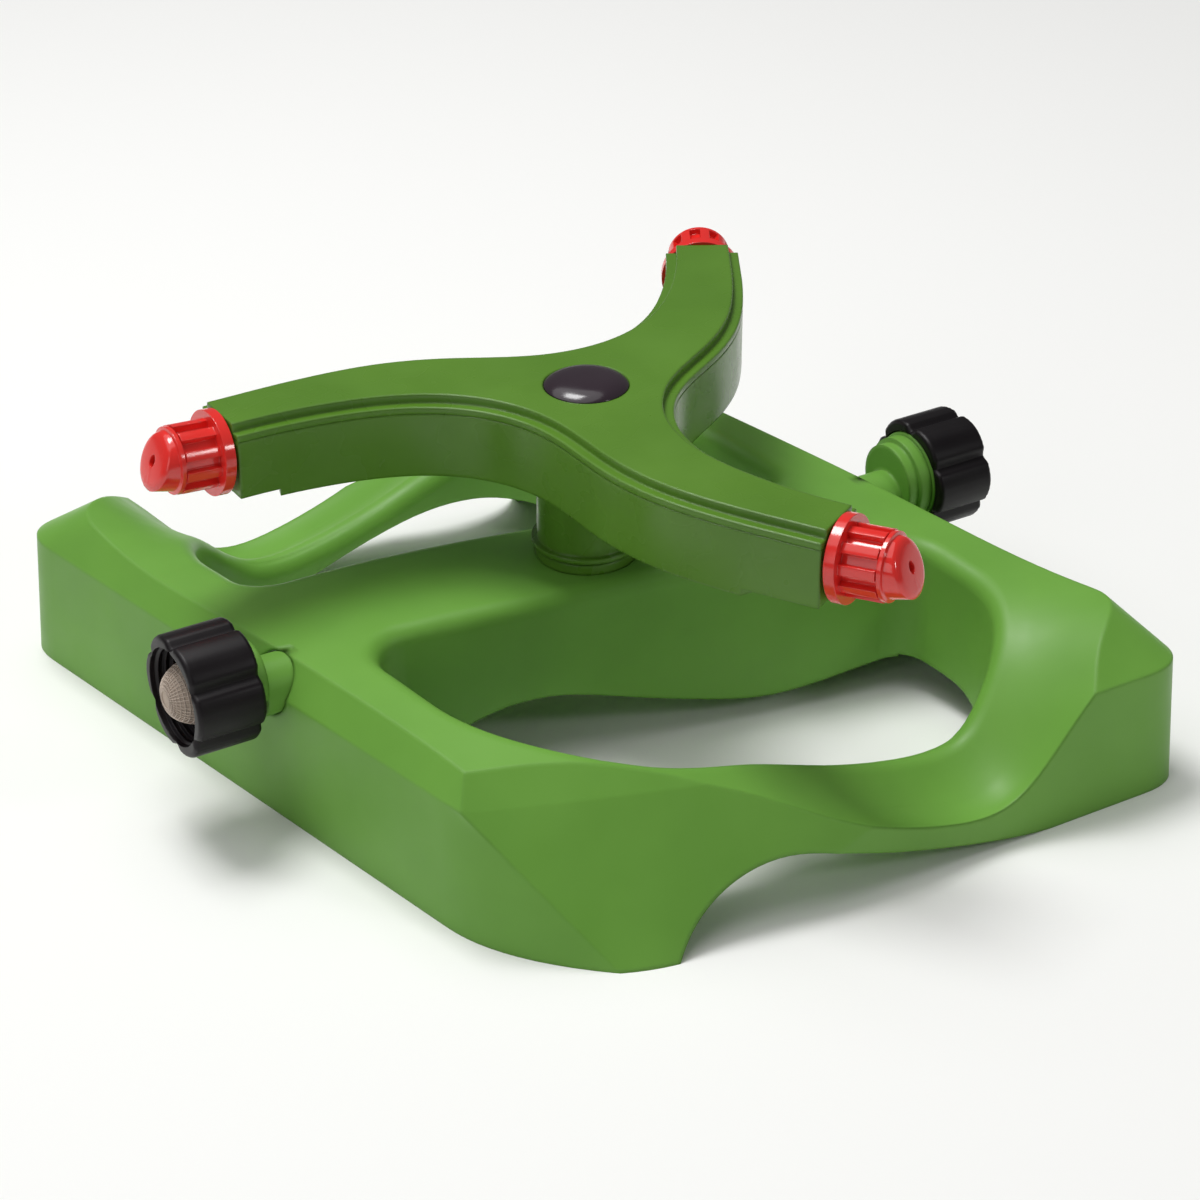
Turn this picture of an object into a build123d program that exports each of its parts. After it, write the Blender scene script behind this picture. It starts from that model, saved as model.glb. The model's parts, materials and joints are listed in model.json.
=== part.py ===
from build123d import *

import os
from math import cos, radians, sin

os.makedirs("parts", exist_ok=True)

# Sizes are in millimetres. The hub axis is Z, the ground is Z = 0 and the water axis runs along X.

# Base plan: two leaning rails joined by two end walls, the same after half a turn
rail_half = 100.5        # hub axis to a rail's outer foot, measured on the water axis
rail_lean = 0.18         # sideways run of a rail for each unit of its length
end_half = 119.0         # hub axis to the foot of an end wall
corner_round = 17.0      # rounding of the two sharp corners
toe_set = 5.0            # the crease of a blunt corner meets the ground this far inside the end wall...
toe_in = 20.0            # ...and this far inside the rail's line
toe_rail_set = 45.0      # a rail is straight up to this far from the end wall, at the ground
toe_end_stop = -38.0     # an end wall is straight from here on at the ground
crease_set = 40.0        # the top of that crease, at waist height, inside the end wall
crease_rail_set = 49.0
crease_end_stop = 55.0
crease_bow = 0.5         # how far the end wall bows out between the crease and there

# Base heights
shell_wall = 3.0
waist = 37.0             # the walls rise to here, then lean in as a band
rail_draft = 1.0         # how far a rail leans in between the ground and the waist
end_draft = 1.5          # the same for an end wall
band_rail_slope = 0.62   # inward run of the band for each unit of height, along a rail
band_end_slope = 1.3     # the same along an end wall
form_top = 62.0          # a height above the whole base
crown_height = 50.0      # top of the bridge at the hub
crown_radius = 1250.0    # curvature of the crown
crown_past = 11.0        # the crown is drawn this far past the end walls
wave_start = 45.0        # the crown turns into the wave of an end from here, measured from the hub axis...
wave_set = 27.0          # ...to here, measured from the end wall
wave = ((-135.0, 39.0), (-91.0, 43.2), (-76.0, 43.2), (-58.0, 42.7), (-38.0, 41.0), (-16.0, 38.0),
        (16.0, 28.0), (38.0, 22.5), (58.0, 22.0), (76.0, 32.5), (91.0, 42.5), (135.0, 39.0))

# Openings beside the bridge: four-sided holes with round corners
end_ledge = 26.0         # an opening stops this far inside the foot of the end wall
tip_set = 23.5           # how far its corners lie inside the feet of the rails
sweep_set = 34.5
far_set = 7.5
heel_set = 14.5
tip_aside = 5.6          # how far its corners at the bridge lie from the water axis
heel_aside = 35.0
tip_round = 11.0
sweep_round = 58.0
far_round = 32.0
far_share = 0.6          # the far rounding takes this much of the side between it and the heel at most
heel_round = 14.0
opening_draft = 4.0      # degrees
rim_round = 5.0
rim_floor = 15.0         # the whole rim lies above this height

# Arches cut into the lower edges of the end walls and of the bridge walls
end_arch = ((-45.0, 0.0), (-30.0, 13.5), (-10.0, 18.5), (14.0, 12.5), (44.0, 4.5), (72.0, 0.0))
rim_arch = ((-60.0, 0.0), (-37.0, 14.5), (-18.0, 20.5), (-2.0, 21.5),
            (16.0, 18.5), (43.0, 10.0), (72.0, 0.0))
rim_arch_set = 47.0      # the wall beside an opening has its own arch, from this far inside the end wall...
rim_arch_stop = 11.0     # ...to this far; the end wall's arch runs on from there
bridge_arch = ((-68.0, 0.0), (-54.0, 12.0), (-40.0, 18.0), (-22.0, 19.5), (0.0, 14.4), (20.0, 9.3),
               (40.0, 6.0), (60.0, 7.5), (80.0, 10.6), (95.0, 11.2))
bridge_arch_from = 3.0
bridge_arch_to = 50.0
heel_arch = ((-88.0, 0.0), (-74.0, 6.0), (-60.0, 10.0), (-46.0, 11.2), (-30.0, 11.2))
heel_arch_set = 20.5     # the arch of the rail's wall runs from this far inside its foot...
heel_arch_stop = 3.5     # ...to this far
arch_foot = 2.0          # the arches are cut from this far below the ground

# Water line
water_drop = 7.0         # top of the bridge to the axis of the hose couplings
pipe_drop = 13.5         # the same to the axis of the pipe under the bridge
pipe_radius = 6.0
pipe_bore = 4.5
spigot_radius = 9.0
spigot_bore = 7.2
root_drop = 11.8         # the same to the axis of the short root between the pipe and a spigot
root_radius = 8.0
root_bore = 5.5
root_set = 10.0          # a root starts this far inside the foot of its rail
root_floor = 1.2
slip = 0.3               # clearance between pieces that are only pushed together
fit = 0.06               # radial clearance of a running fit

# Inlet swivel coupling, at the -X end
nut_stand = 6.3          # from the foot of the rail to the nut
nut_length = 19.7
nut_lip = 3.0
thread_radius = 13.5     # plain wall in place of a 3/4 inch hose thread
lobe_count = 6
lobe_radius = 9.6
lobe_centre = 6.8
lobe_edge = 1.2
ferrule_flange_radius = 12.9
ferrule_flange = 2.0
washer_thickness = 2.5
washer_radius = 13.1
strainer_rim = 1.0
strainer_base_radius = 9.4
strainer_tip_radius = 4.0
strainer_past = 2.0      # the strainer's tip stands this far out of the nut
strainer_wall = 0.8

# Outlet and its screw cap, at the +X end
outlet_radius = 11.0
outlet_collar_stand = 5.5
outlet_collar_width = 3.6
outlet_collar_radius = 12.3
outlet_thread_radius = 13.1
cap_gap = 0.4            # from the collar to the cap
cap_length = 18.5
cap_floor = 3.5

# Pipe fixings under the bridge
ear_spacing = 36.0
ear_length = 7.0
ear_thickness = 3.0
screw_spacing = 18.0
screw_radius = 1.4
screw_head_radius = 2.4
screw_head_height = 2.0
screw_length = 9.0
boss_radius = 2.6
socket_radius = 11.0
socket_drop = 4.0        # top of the bridge to the top of the spindle's socket

# Spindle and bearing
spindle_radius = 7.0
spindle_bore = 4.6
spindle_seat = 3.5       # the spindle's foot stands this far above the pipe's axis
collar_radius = 14.2
collar_height = 3.0
collar_neck_radius = 9.0
thrust_washer_thickness = 0.6
thrust_washer_radius = 13.0
run_gap = 0.2            # axial running gap of the rotor
stem_radius = 13.7
stem_bore = 9.0
stem_ring_radius = 15.2
stem_ring_height = 1.5
stem_neck_radius = 11.0
bush_radius = 10.0
bush_length = 9.5
seal_section = 0.9       # radius of the spindle seal's round section
riser_seal_section = 0.55
seal_ease = 0.02         # a seal is this much slimmer than its groove
riser_seal_up = 3.2      # from the spindle's foot to the riser seal
port_count = 3
port_radius = 2.6
port_height = 85.5

# Rotor: arms that leave the hub sideways and run straight out, turned from one to the next
arm_count = 3
rotor_top = 101.0
arm_height = 23.0
arm_width = 21.2
arm_wall = 2.2
arm_offset = 36.3        # the straight end of an arm passes this far to the right of the hub axis
arm_heading = 60.0       # direction of the first arm's straight end, in degrees
web = ((52.0, 43.9), (35.0, 29.2), (17.0, 23.2), (0.0, 25.2), (-22.0, 36.2), (-46.0, 44.6), (-70.0, 46.8))
shoulder_depth = 2.0     # the top cover's rim above the seam
plateau_height = 2.5     # the raised plateau above that rim
plateau_inset = 3.0      # the raised plateau is this much narrower on each side
nozzle_reach = 92.7      # along an arm's straight end to the back of a nozzle's flange
nozzle_drop = 11.0       # a nozzle's axis below the rotor's top, at the flange
nozzle_rise = 4.0        # upward tilt of a nozzle, in degrees
arm_short = 1.2          # an arm stops this far short of the flange
arm_block = 8.0          # solid end of an arm
tip_step_radius = 84.0
tip_step_height = 2.0
lip_height = 2.0
lip_wall = 1.4
lip_short = 15.0         # the cover's lip stops this far short of the flange

# Hub top
recess_depth = 3.0
recess_radius = 10.6
cap_sunk = 1.0           # the hub cap's seat below the rotor's top
hub_cap_radius = 11.5
hub_cap_edge = 1.0
hub_cap_stand = 2.4      # the hub cap's top above the rotor's top
hub_cap_wall = 1.2
upper_bush_radius = 9.0
upper_bush_length = 8.0
upper_boss_wall = 1.6
retainer_thickness = 0.8
retainer_radius = 8.6
pivot_radius = 2.4
pivot_head_radius = 4.5
pivot_head_height = 2.0
pivot_length = 6.0
slot_width = 1.0
slot_depth = 1.0

# Nozzle, measured from the back of its flange
flange_radius = 11.7
flange_thickness = 3.0
nozzle_length = 20.5
nozzle_core_radius = 8.3
nozzle_tip_radius = 7.2
nozzle_bore_depth = 12.0
rib_count = 10
rib_width = 3.0
rib_radius = 9.3
rib_root = 0.8           # a rib starts this far inside the core
rib_stop = 14.0
tip_slant = 22.0         # degrees
jet_radius = 1.6
sleeve_radius = 6.2
sleeve_bore = 4.4
snap_lip = 0.5
snap_length = 1.6
nozzle_seal_section = 0.6
nozzle_seal_back = 4.0   # the seal lies this far behind the flange

# Heights and places that follow from these
crown_reach = end_half + crown_past
wave_full = end_half - wave_set
water_height = crown_height - water_drop
pipe_height = crown_height - pipe_drop
root_height = crown_height - root_drop
socket_top = crown_height - socket_drop
spindle_foot = pipe_height + spindle_seat
riser_seal_height = spindle_foot + riser_seal_up
root_start = rail_half - root_set
nut_back = rail_half + nut_stand
nut_mouth = nut_back + nut_length
strainer_tip = nut_mouth + strainer_past
outlet_collar_start = rail_half + outlet_collar_stand
outlet_collar_end = outlet_collar_start + outlet_collar_width
cap_mouth = outlet_collar_end + cap_gap
cap_end = cap_mouth + cap_length
opening_corners = (
    (tip_set - rail_half, -tip_aside),
    (sweep_set - rail_half, end_ledge - end_half),
    (rail_half - far_set, end_ledge - end_half),
    (rail_half - heel_set, -heel_aside),
)
far_side = end_half - end_ledge - heel_aside
opening_rounds = (tip_round, sweep_round, min(far_round, far_share * far_side), heel_round)
arm_bottom = rotor_top - arm_height
shoulder_height = rotor_top - plateau_height
seam_height = shoulder_height - shoulder_depth
nozzle_height = rotor_top - nozzle_drop
recess_floor = rotor_top - recess_depth
cap_seat = rotor_top - cap_sunk
hub_cap_top = rotor_top + hub_cap_stand
upper_bush_bottom = recess_floor - upper_bush_length


def turned(point):
    """The matching point on the other half of the base."""
    x, y = point
    return (-x, -y)


def base_level(height, rail_in, end_in, corner_y, corner_in, rail_stop, end_stop, bow):
    """Outline of the base at one height, pulled in from the ground lines by rail_in and end_in."""
    end_line = end_half - end_in

    def on_rail(y):
        return (-(rail_half - rail_in) - rail_lean * y, y)

    sharp = on_rail(end_line)
    start = on_rail(end_line - corner_round)
    stop = on_rail(rail_stop)
    corner = (on_rail(corner_y)[0] + corner_in, corner_y)
    front = (end_stop, -end_line)
    last = (-sharp[0] - corner_round, -end_line)
    rail_bend = on_rail((rail_stop + corner_y) / 2)
    end_bend = ((corner[0] + front[0]) / 2, corner_y - (corner_y + end_line) * (1 + bow) / 2)
    with BuildSketch(Plane.XY.offset(height)) as level:
        with BuildLine():
            for way in (tuple, turned):
                Line(way(start), way(stop))
                Bezier(way(stop), way(rail_bend), way(corner))
                Bezier(way(corner), way(end_bend), way(front))
                Line(way(front), way(last))
                Bezier(way(last), way(turned(sharp)), way(turned(start)))
        make_face()
    return level.sketch


def base_walls(inset):
    """The outlines that the walls and the band run through, pulled in all round by inset."""
    band = form_top - waist
    rail_top = rail_draft + band * band_rail_slope
    end_top = end_draft + band * band_end_slope
    shift = band * band_rail_slope
    return [
        base_level(0, inset, inset, toe_set - end_half + inset, toe_in,
                   toe_rail_set - end_half, toe_end_stop, 1),
        base_level(waist, rail_draft + inset, end_draft + inset, crease_set - end_half + inset, 0,
                   crease_rail_set - end_half, crease_end_stop, crease_bow),
        base_level(form_top, rail_top + inset, end_top + inset, crease_set - end_half + shift + inset, 0,
                   crease_rail_set - end_half + shift, crease_end_stop, crease_bow),
    ]


def crown_slices(drop):
    """Upright slices through the space under the crown, from the front end to the back end."""
    slices = []
    for y in (-crown_reach, -wave_full, -wave_start, 0, wave_start, wave_full, crown_reach):
        side = -1 if y > 0 else 1
        share = 1 if abs(y) >= wave_full else 0
        profile = []
        for x, height in wave[::side]:
            dome = crown_height - (x * x + y * y) / (2 * crown_radius)
            profile.append((side * x, height * share + dome * (1 - share) - drop))
        with BuildSketch(Plane.XZ.offset(-y)) as upright:
            with BuildLine():
                Spline(*profile)
                Polyline(profile[-1], (profile[-1][0], -form_top), (profile[0][0], -form_top), profile[0])
            make_face()
        slices.append(upright.sketch)
    return slices


def opening(way, grow):
    """The hole beside the bridge, drawn above the base and grown all round."""
    with BuildSketch(Plane.XY.offset(form_top)) as hole:
        with BuildLine():
            Polyline(*[way(corner) for corner in opening_corners], close=True)
        make_face()
        for corner, size in zip(opening_corners, opening_rounds):
            fillet(hole.vertices().sort_by_distance((*way(corner), form_top))[0], size)
        if grow:
            offset(amount=grow)
    return hole.sketch


def arch(out, points, near, far):
    """Space under an arch in a wall that faces out, between two distances from the hub axis."""
    out_x, out_y = out
    foot = [(points[-1][0], -arch_foot), (points[0][0], -arch_foot)]
    with BuildPart() as space:
        start = (out_x * near, out_y * near, 0)
        with BuildSketch(Plane(origin=start, x_dir=(-out_y, out_x, 0), z_dir=(out_x, out_y, 0))):
            with BuildLine():
                Spline(*points)
                Polyline(points[-1], *foot, points[0])
            make_face()
        extrude(amount=far - near)
    return space.part


def across(x, height, way=1):
    """Plane square to the water axis, facing +X, or -X where way is -1."""
    return Plane(origin=(x, 0, height), x_dir=(0, way, 0), z_dir=(way, 0, 0))


def lobed_grip(plane):
    """Outline of a nut for the hand: a ring of round lobes."""
    with BuildSketch(plane) as grip:
        Circle(lobe_centre)
        with PolarLocations(lobe_centre, lobe_count):
            Circle(lobe_radius)
    return grip.sketch


def arm_axes(arm):
    """Directions along the straight end of an arm and to the right of it."""
    heading = radians(arm_heading + arm * 360 / arm_count)
    return (cos(heading), sin(heading)), (sin(heading), -cos(heading))


def on_arm(arm, along, right):
    """Point in plan, measured from the hub along the straight end of an arm and to the right of it."""
    ahead, aside = arm_axes(arm)
    return (along * ahead[0] + right * aside[0], along * ahead[1] + right * aside[1])


def spun(point, arm):
    """A point drawn between the first two arms, turned to start from another arm."""
    turn = radians(arm * 360 / arm_count)
    x, y = point
    return (x * cos(turn) - y * sin(turn), x * sin(turn) + y * cos(turn))


def web_points(inset):
    """The points of the web between the first two arms, moved in from its edge."""
    first = on_arm(0, nozzle_reach, arm_offset - arm_width / 2)
    last = on_arm(1, nozzle_reach, arm_offset + arm_width / 2)
    moved = []
    for before, point, after in zip((first, *web), web, (*web[1:], last)):
        run = (Vector(*after) - Vector(*before)).normalized() * inset
        moved.append((point[0] - run.Y, point[1] + run.X))
    return moved


def star(height, inset, short):
    """Outline of the rotor, pulled in at the sides by inset, with arms that stop short of the flanges."""
    tip = nozzle_reach - short
    half = arm_width / 2 - inset
    with BuildSketch(Plane.XY.offset(height)) as outline:
        with BuildLine():
            for arm in range(arm_count):
                left = on_arm(arm, tip, arm_offset - half)
                ahead, out = arm_axes(arm)[0], arm_axes(arm + 1)[0]
                Line(on_arm(arm, tip, arm_offset + half), left)
                Spline(
                    left,
                    *[spun(point, arm) for point in web_points(inset)],
                    on_arm(arm + 1, tip, arm_offset + half),
                    tangents=((-ahead[0], -ahead[1]), out),
                )
        make_face()
    return outline.sketch


def nozzle_plane(arm):
    """Plane on the back of a nozzle's flange, facing out along the nozzle."""
    ahead, aside = arm_axes(arm)
    rise = radians(nozzle_rise)
    return Plane(
        origin=(*on_arm(arm, nozzle_reach, arm_offset), nozzle_height),
        x_dir=(-aside[0], -aside[1], 0),
        z_dir=(cos(rise) * ahead[0], cos(rise) * ahead[1], sin(rise)),
    )


ways = (tuple, turned)
arms = range(arm_count)
ear_places = (-ear_spacing / 2, ear_spacing / 2)
screw_places = [(x, y) for x in ear_places for y in (-screw_spacing / 2, screw_spacing / 2)]

# Hollow below the base shell
with BuildPart() as base_hollow:
    loft(sections=base_walls(shell_wall), ruled=True)
    loft(sections=crown_slices(shell_wall), mode=Mode.INTERSECT)
    for way in ways:
        extrude(opening(way, shell_wall), amount=-form_top, taper=opening_draft, mode=Mode.SUBTRACT)

# Base shell: walls, band and crown, with a rounded rim at each opening, hollow below
ear_top = pipe_height + pipe_radius
with BuildPart() as base_shell:
    loft(sections=base_walls(0), ruled=True)
    loft(sections=crown_slices(0), mode=Mode.INTERSECT)
    for way in ways:
        extrude(opening(way, 0), amount=-form_top, taper=opening_draft, mode=Mode.SUBTRACT)
        rim = base_shell.edges(Select.LAST).filter_by(lambda edge: edge.bounding_box().min.Z > rim_floor)
        fillet(rim, rim_round)
    add(base_hollow.part, mode=Mode.SUBTRACT)
    with BuildSketch(Plane.XY.offset(ear_top)):
        with Locations(*screw_places):
            Circle(boss_radius)
    extrude(amount=crown_height - shell_wall / 2 - ear_top)
    arch_turn = end_half - rim_arch_stop
    for way in ways:
        add(arch(way((0, -1)), rim_arch, end_half - rim_arch_set, arch_turn), mode=Mode.SUBTRACT)
        add(arch(way((0, -1)), end_arch, arch_turn, crown_reach), mode=Mode.SUBTRACT)
        add(arch(way((0, -1)), bridge_arch, bridge_arch_from, bridge_arch_to), mode=Mode.SUBTRACT)
        heel_space = arch(way((1, 0)), heel_arch, rail_half - heel_arch_set, rail_half - heel_arch_stop)
        add(heel_space, mode=Mode.SUBTRACT)
    for side in (-1, 1):
        with BuildSketch(across(side * (root_start - slip), root_height, side)):
            Circle(root_radius + slip)
        extrude(amount=end_half, mode=Mode.SUBTRACT)
    with BuildSketch(Plane.XY.offset(ear_top)):
        with Locations(*screw_places):
            Circle(screw_radius + fit)
    extrude(amount=screw_length - ear_thickness, mode=Mode.SUBTRACT)
    with BuildSketch(Plane.XY.offset(pipe_height)):
        Circle(collar_neck_radius + slip)
    extrude(amount=form_top, mode=Mode.SUBTRACT)
    with BuildSketch(Plane.XY.offset(crown_height)):
        Circle(collar_radius + slip)
    extrude(amount=collar_height, mode=Mode.SUBTRACT)
base_shell.part.label = "base_shell"
export_step(base_shell.part, "parts/base_shell.step")

# Water manifold: pipe under the bridge, a spigot at each end and a socket for the spindle
outlet_end = cap_end - cap_floor - 2 * run_gap - washer_thickness
spigot_start = rail_half + rail_lean * outlet_radius + slip
with BuildPart() as water_manifold:
    with BuildSketch(across(-root_start, pipe_height)):
        Circle(pipe_radius)
    extrude(amount=2 * root_start)
    for x in ear_places:
        with BuildSketch(Plane.XY.offset(ear_top)):
            with Locations((x, 0)):
                Rectangle(ear_length, screw_spacing + 2 * boss_radius)
        extrude(amount=-ear_thickness)
    with BuildSketch(Plane.XY.offset(pipe_height)):
        Circle(socket_radius)
    extrude(amount=socket_top - pipe_height)
    for side in (-1, 1):
        with BuildSketch(across(side * root_start, root_height, side)):
            Circle(root_radius)
        extrude(amount=spigot_start - root_start)
    with BuildSketch(across(-spigot_start, water_height, -1)):
        Circle(spigot_radius)
    extrude(amount=nut_back - slip - spigot_start)
    with BuildSketch(across(spigot_start, water_height)):
        Circle(outlet_radius)
    extrude(amount=outlet_end - spigot_start)
    with BuildSketch(across(outlet_collar_start, water_height)):
        Circle(outlet_collar_radius)
    extrude(amount=outlet_collar_end - outlet_collar_start)
    with BuildSketch(across(cap_mouth, water_height)):
        Circle(outlet_thread_radius)
    extrude(amount=outlet_end - cap_mouth)
    with BuildSketch(across(-root_start - root_floor, pipe_height)):
        Circle(pipe_bore)
    extrude(amount=2 * (root_start + root_floor), mode=Mode.SUBTRACT)
    for side in (-1, 1):
        with BuildSketch(across(side * (root_start + root_floor), root_height, side)):
            Circle(root_bore)
        extrude(amount=spigot_start - root_start, mode=Mode.SUBTRACT)
        with BuildSketch(across(side * (spigot_start + root_floor), water_height, side)):
            Circle(spigot_bore)
        extrude(amount=end_half, mode=Mode.SUBTRACT)
    with BuildSketch(Plane.XY.offset(pipe_height)):
        Circle(spindle_bore)
    extrude(amount=socket_top, mode=Mode.SUBTRACT)
    with BuildSketch(Plane.XY.offset(spindle_foot)):
        Circle(spindle_radius + fit)
    extrude(amount=socket_top, mode=Mode.SUBTRACT)
    with BuildSketch(Plane.XY.offset(ear_top)):
        with Locations(*screw_places):
            Circle(screw_radius + slip)
    extrude(amount=-ear_thickness, mode=Mode.SUBTRACT)
water_manifold.part.label = "water_manifold"
export_step(water_manifold.part, "parts/water_manifold.step")

# Manifold screws: pan heads below the ears
with BuildPart() as manifold_screws:
    with BuildSketch(Plane.XY.offset(ear_top - ear_thickness)):
        with Locations(*screw_places):
            Circle(screw_radius)
    extrude(amount=screw_length)
    with BuildSketch(Plane.XY.offset(ear_top - ear_thickness)):
        with Locations(*screw_places):
            Circle(screw_head_radius)
    extrude(amount=-screw_head_height)
    with BuildSketch(Plane.XY.offset(ear_top - ear_thickness - screw_head_height)):
        with Locations(*screw_places):
            Rectangle(2 * screw_head_radius, slot_width)
    extrude(amount=slot_depth, mode=Mode.SUBTRACT)
manifold_screws.part.label = "manifold_screws"
export_step(manifold_screws.part, "parts/manifold_screws.step")

# Inlet ferrule: an insert in the spigot with a neck and a flange for the nut to turn on
neck_start = nut_back - slip
ferrule_insert = neck_start - spigot_start - root_floor - slip
flange_start = nut_back + nut_lip + slip
flange_end = flange_start + ferrule_flange
with BuildPart() as inlet_ferrule:
    with BuildSketch(across(-neck_start + ferrule_insert, water_height, -1)):
        Circle(spigot_bore - fit)
    extrude(amount=ferrule_insert)
    with BuildSketch(across(-neck_start, water_height, -1)):
        Circle(spigot_radius)
    extrude(amount=flange_end - neck_start)
    with BuildSketch(across(-flange_start, water_height, -1)):
        Circle(ferrule_flange_radius)
    extrude(amount=ferrule_flange)
    with BuildSketch(across(-neck_start + ferrule_insert, water_height, -1)):
        Circle(pipe_bore + strainer_wall)
    extrude(amount=end_half, mode=Mode.SUBTRACT)
inlet_ferrule.part.label = "inlet_ferrule"
export_step(inlet_ferrule.part, "parts/inlet_ferrule.step")

# Inlet swivel nut: a lobed ring with a lip behind the ferrule's flange
with BuildPart() as inlet_swivel_nut:
    extrude(lobed_grip(across(-nut_back, water_height, -1)), amount=nut_mouth - nut_back)
    chamfer(inlet_swivel_nut.faces().filter_by(Axis.X).edges(), lobe_edge)
    with BuildSketch(across(-nut_back, water_height, -1)):
        Circle(spigot_radius + slip)
    extrude(amount=nut_mouth - nut_back, mode=Mode.SUBTRACT)
    with BuildSketch(across(-nut_back - nut_lip, water_height, -1)):
        Circle(thread_radius)
    extrude(amount=nut_mouth - nut_back, mode=Mode.SUBTRACT)
inlet_swivel_nut.part.label = "inlet_swivel_nut"
export_step(inlet_swivel_nut.part, "parts/inlet_swivel_nut.step")

# Inlet washer, in front of the flange
inlet_washer_back = flange_end + run_gap
with BuildPart() as inlet_washer:
    with BuildSketch(across(-inlet_washer_back, water_height, -1)):
        Circle(washer_radius)
        Circle(spigot_bore, mode=Mode.SUBTRACT)
    extrude(amount=washer_thickness)
inlet_washer.part.label = "inlet_washer"
export_step(inlet_washer.part, "parts/inlet_washer.step")

# Inlet strainer: a cone of screen on a flat rim
strainer_back = inlet_washer_back + washer_thickness
strainer_front = strainer_back + strainer_rim
with BuildPart() as inlet_strainer:
    with BuildSketch(Plane.XZ):
        with BuildLine():
            Polyline(
                (-strainer_back, water_height + strainer_base_radius - strainer_wall),
                (-strainer_back, water_height + washer_radius),
                (-strainer_front, water_height + washer_radius),
                (-strainer_front, water_height + strainer_base_radius),
                (-strainer_tip, water_height + strainer_tip_radius),
                (-strainer_tip, water_height),
                (-strainer_tip + strainer_wall, water_height),
                (-strainer_tip + strainer_wall, water_height + strainer_tip_radius - strainer_wall),
                close=True,
            )
        make_face()
    revolve(axis=Axis((0, 0, water_height), (1, 0, 0)))
inlet_strainer.part.label = "inlet_strainer"
export_step(inlet_strainer.part, "parts/inlet_strainer.step")

# Outlet cap: a lobed cup over the outlet's thread
with BuildPart() as outlet_cap:
    extrude(lobed_grip(across(cap_mouth, water_height)), amount=cap_end - cap_mouth)
    chamfer(outlet_cap.faces().filter_by(Axis.X).edges(), lobe_edge)
    with BuildSketch(across(cap_mouth, water_height)):
        Circle(thread_radius)
    extrude(amount=cap_end - cap_floor - cap_mouth, mode=Mode.SUBTRACT)
outlet_cap.part.label = "outlet_cap"
export_step(outlet_cap.part, "parts/outlet_cap.step")

# Outlet washer, on the floor of the cap
with BuildPart() as outlet_washer:
    with BuildSketch(across(cap_end - cap_floor - run_gap, water_height, -1)):
        Circle(washer_radius)
    extrude(amount=washer_thickness)
outlet_washer.part.label = "outlet_washer"
export_step(outlet_washer.part, "parts/outlet_washer.step")

# Riser spindle: hollow, closed at the top, with side ports into the rotor
spindle_top = recess_floor + run_gap
groove_floor = spindle_radius + fit - 2 * riser_seal_section
with BuildPart() as riser_spindle:
    with BuildSketch(Plane.XY.offset(spindle_foot)):
        Circle(spindle_radius)
    extrude(amount=spindle_top - spindle_foot)
    with BuildSketch(Plane.XY.offset(spindle_foot)):
        Circle(spindle_bore)
    extrude(amount=upper_bush_bottom - spindle_foot, mode=Mode.SUBTRACT)
    with BuildSketch(Plane.XY.offset(spindle_top)):
        Circle(pivot_radius + fit)
    extrude(amount=-pivot_length, mode=Mode.SUBTRACT)
    with BuildSketch(Plane.XY.offset(riser_seal_height - riser_seal_section)):
        Circle(spindle_radius + slip)
        Circle(groove_floor, mode=Mode.SUBTRACT)
    extrude(amount=2 * riser_seal_section, mode=Mode.SUBTRACT)
    for port in range(port_count):
        aim = radians(arm_heading + port * 360 / port_count)
        with BuildSketch(Plane(origin=(0, 0, port_height), x_dir=(0, 0, 1), z_dir=(cos(aim), sin(aim), 0))):
            Circle(port_radius)
        extrude(amount=2 * spindle_radius, mode=Mode.SUBTRACT)
riser_spindle.part.label = "riser_spindle"
export_step(riser_spindle.part, "parts/riser_spindle.step")

# Riser seal, in the spindle's groove
with BuildPart() as riser_seal:
    with Locations((0, 0, riser_seal_height)):
        Torus(groove_floor + riser_seal_section, riser_seal_section - seal_ease)
riser_seal.part.label = "riser_seal"
export_step(riser_seal.part, "parts/riser_seal.step")

# Bearing collar, on the bridge
collar_top = crown_height + collar_height
with BuildPart() as bearing_collar:
    with BuildSketch(Plane.XY.offset(crown_height)):
        Circle(collar_radius)
    extrude(amount=collar_height)
    with BuildSketch(Plane.XY.offset(socket_top)):
        Circle(collar_neck_radius)
    extrude(amount=crown_height - socket_top)
    with BuildSketch(Plane.XY.offset(socket_top)):
        Circle(spindle_radius + fit)
    extrude(amount=form_top, mode=Mode.SUBTRACT)
bearing_collar.part.label = "bearing_collar"
export_step(bearing_collar.part, "parts/bearing_collar.step")

# Thrust washer, on the collar
with BuildPart() as thrust_washer:
    with BuildSketch(Plane.XY.offset(collar_top)):
        Circle(thrust_washer_radius)
        Circle(spindle_radius + fit, mode=Mode.SUBTRACT)
    extrude(amount=thrust_washer_thickness)
thrust_washer.part.label = "thrust_washer"
export_step(thrust_washer.part, "parts/thrust_washer.step")

# Retaining washer, on top of the spindle
with BuildPart() as retaining_washer:
    with BuildSketch(Plane.XY.offset(spindle_top)):
        Circle(retainer_radius)
        Circle(pivot_radius + fit, mode=Mode.SUBTRACT)
    extrude(amount=retainer_thickness)
retaining_washer.part.label = "retaining_washer"
export_step(retaining_washer.part, "parts/retaining_washer.step")

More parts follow.
